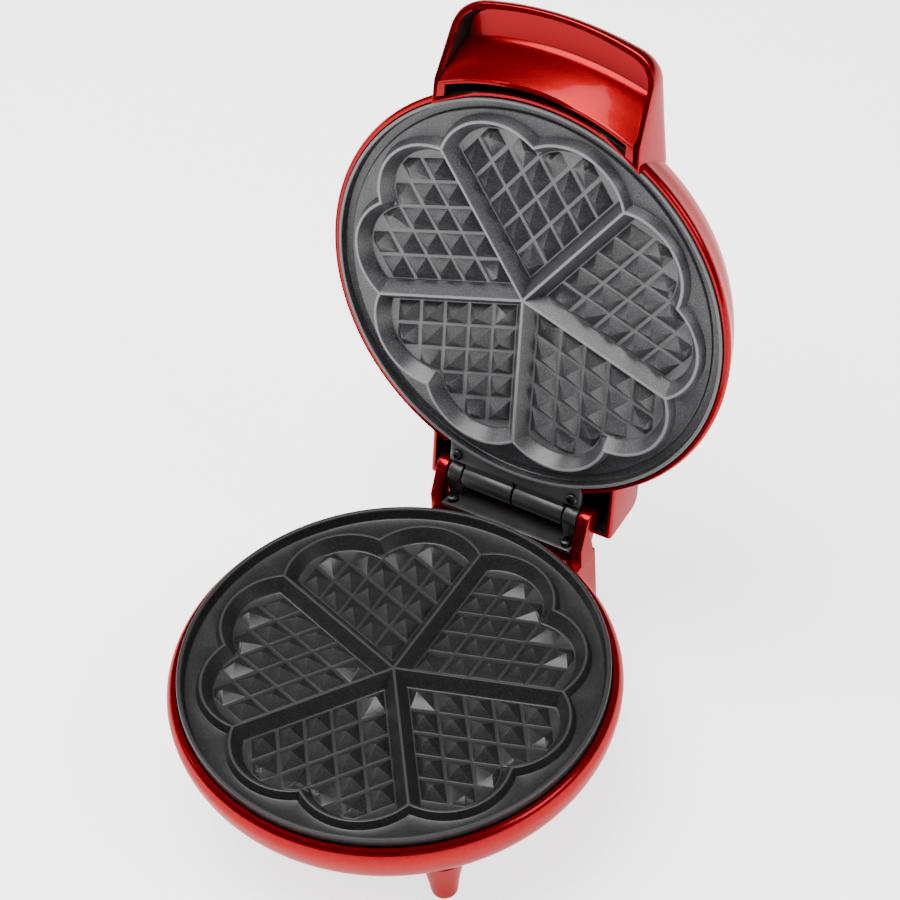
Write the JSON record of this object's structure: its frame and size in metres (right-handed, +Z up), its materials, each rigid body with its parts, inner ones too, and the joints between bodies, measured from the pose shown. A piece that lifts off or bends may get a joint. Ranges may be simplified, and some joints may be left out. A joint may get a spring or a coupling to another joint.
{
  "type": "waffle maker",
  "caption": "Round hinged waffle maker on feet, standing open, with two heart-cluster baking plates, a hollow front handle with a finger scoop and a hinge housing at the back.",
  "frame": {"origin": "centre of the open appliance's footprint box, on the plane of the feet", "axes": "+Z up; +Y towards the hinge at the back; +X to the right of someone facing the front, along the hinge pin"},
  "size_m": [0.2128, 0.2897, 0.3244],
  "materials": {
    "red_lacquer": "metallic candy red gloss lacquer",
    "liner_red": "gloss red",
    "nonstick": "satin dark non-stick coating",
    "black_plastic": "satin black",
    "steel": "plain",
    "black_screw": "blackened",
    "aluminium": "mill finish",
    "ceramic": "unglazed",
    "rubber": "matte black",
    "green_lens": "clear tinted",
    "amber_lens": "clear tinted",
    "circuit_board": "plain"
  },
  "bodies": {
    "base": {"base_shell": "red_lacquer", "bottom_cover": "black_plastic", "bottom_screw_1": "steel", "bottom_screw_2": "steel", "bottom_screw_3": "steel", "bottom_screw_4": "steel", "foot_pad_front_right": "rubber", "foot_pad_front_left": "rubber", "foot_pad_rear_right": "rubber", "foot_pad_rear_left": "rubber", "lower_plate": "nonstick", "lower_heater": "steel", "lower_heater_clip_1": "steel", "lower_heater_clip_2": "steel", "lower_reflector": "aluminium", "lower_plate_screw_1": "steel", "lower_plate_screw_2": "steel", "lower_plate_screw_3": "steel", "lower_thermostat": "steel", "base_hinge_bracket": "black_plastic", "hinge_pin": "steel", "base_hinge_screw_right": "black_screw", "base_hinge_screw_left": "black_screw", "cable_gland": "black_plastic", "terminal_block": "ceramic", "thermal_fuse": "ceramic"},
    "lid": {"lid_shell": "red_lacquer", "handle_liner": "liner_red", "upper_plate": "nonstick", "upper_heater": "steel", "upper_heater_clip_1": "steel", "upper_heater_clip_2": "steel", "upper_reflector": "aluminium", "upper_plate_screw_1": "steel", "upper_plate_screw_2": "steel", "upper_plate_screw_3": "steel", "upper_thermostat": "steel", "lid_hinge_bracket": "black_plastic", "lid_hinge_screw_right": "black_screw", "lid_hinge_screw_left": "black_screw", "shroud_cover": "black_plastic", "green_lamp": "green_lens", "amber_lamp": "amber_lens", "lamp_board": "circuit_board"}
  },
  "joints": [
    {"name": "lid_hinge", "type": "hinge", "parent": "base", "child": "lid", "pos_m": [0, 0.07755, 0.075], "axis": [1, 0, 0], "range_deg": [0, 101]}
  ]
}
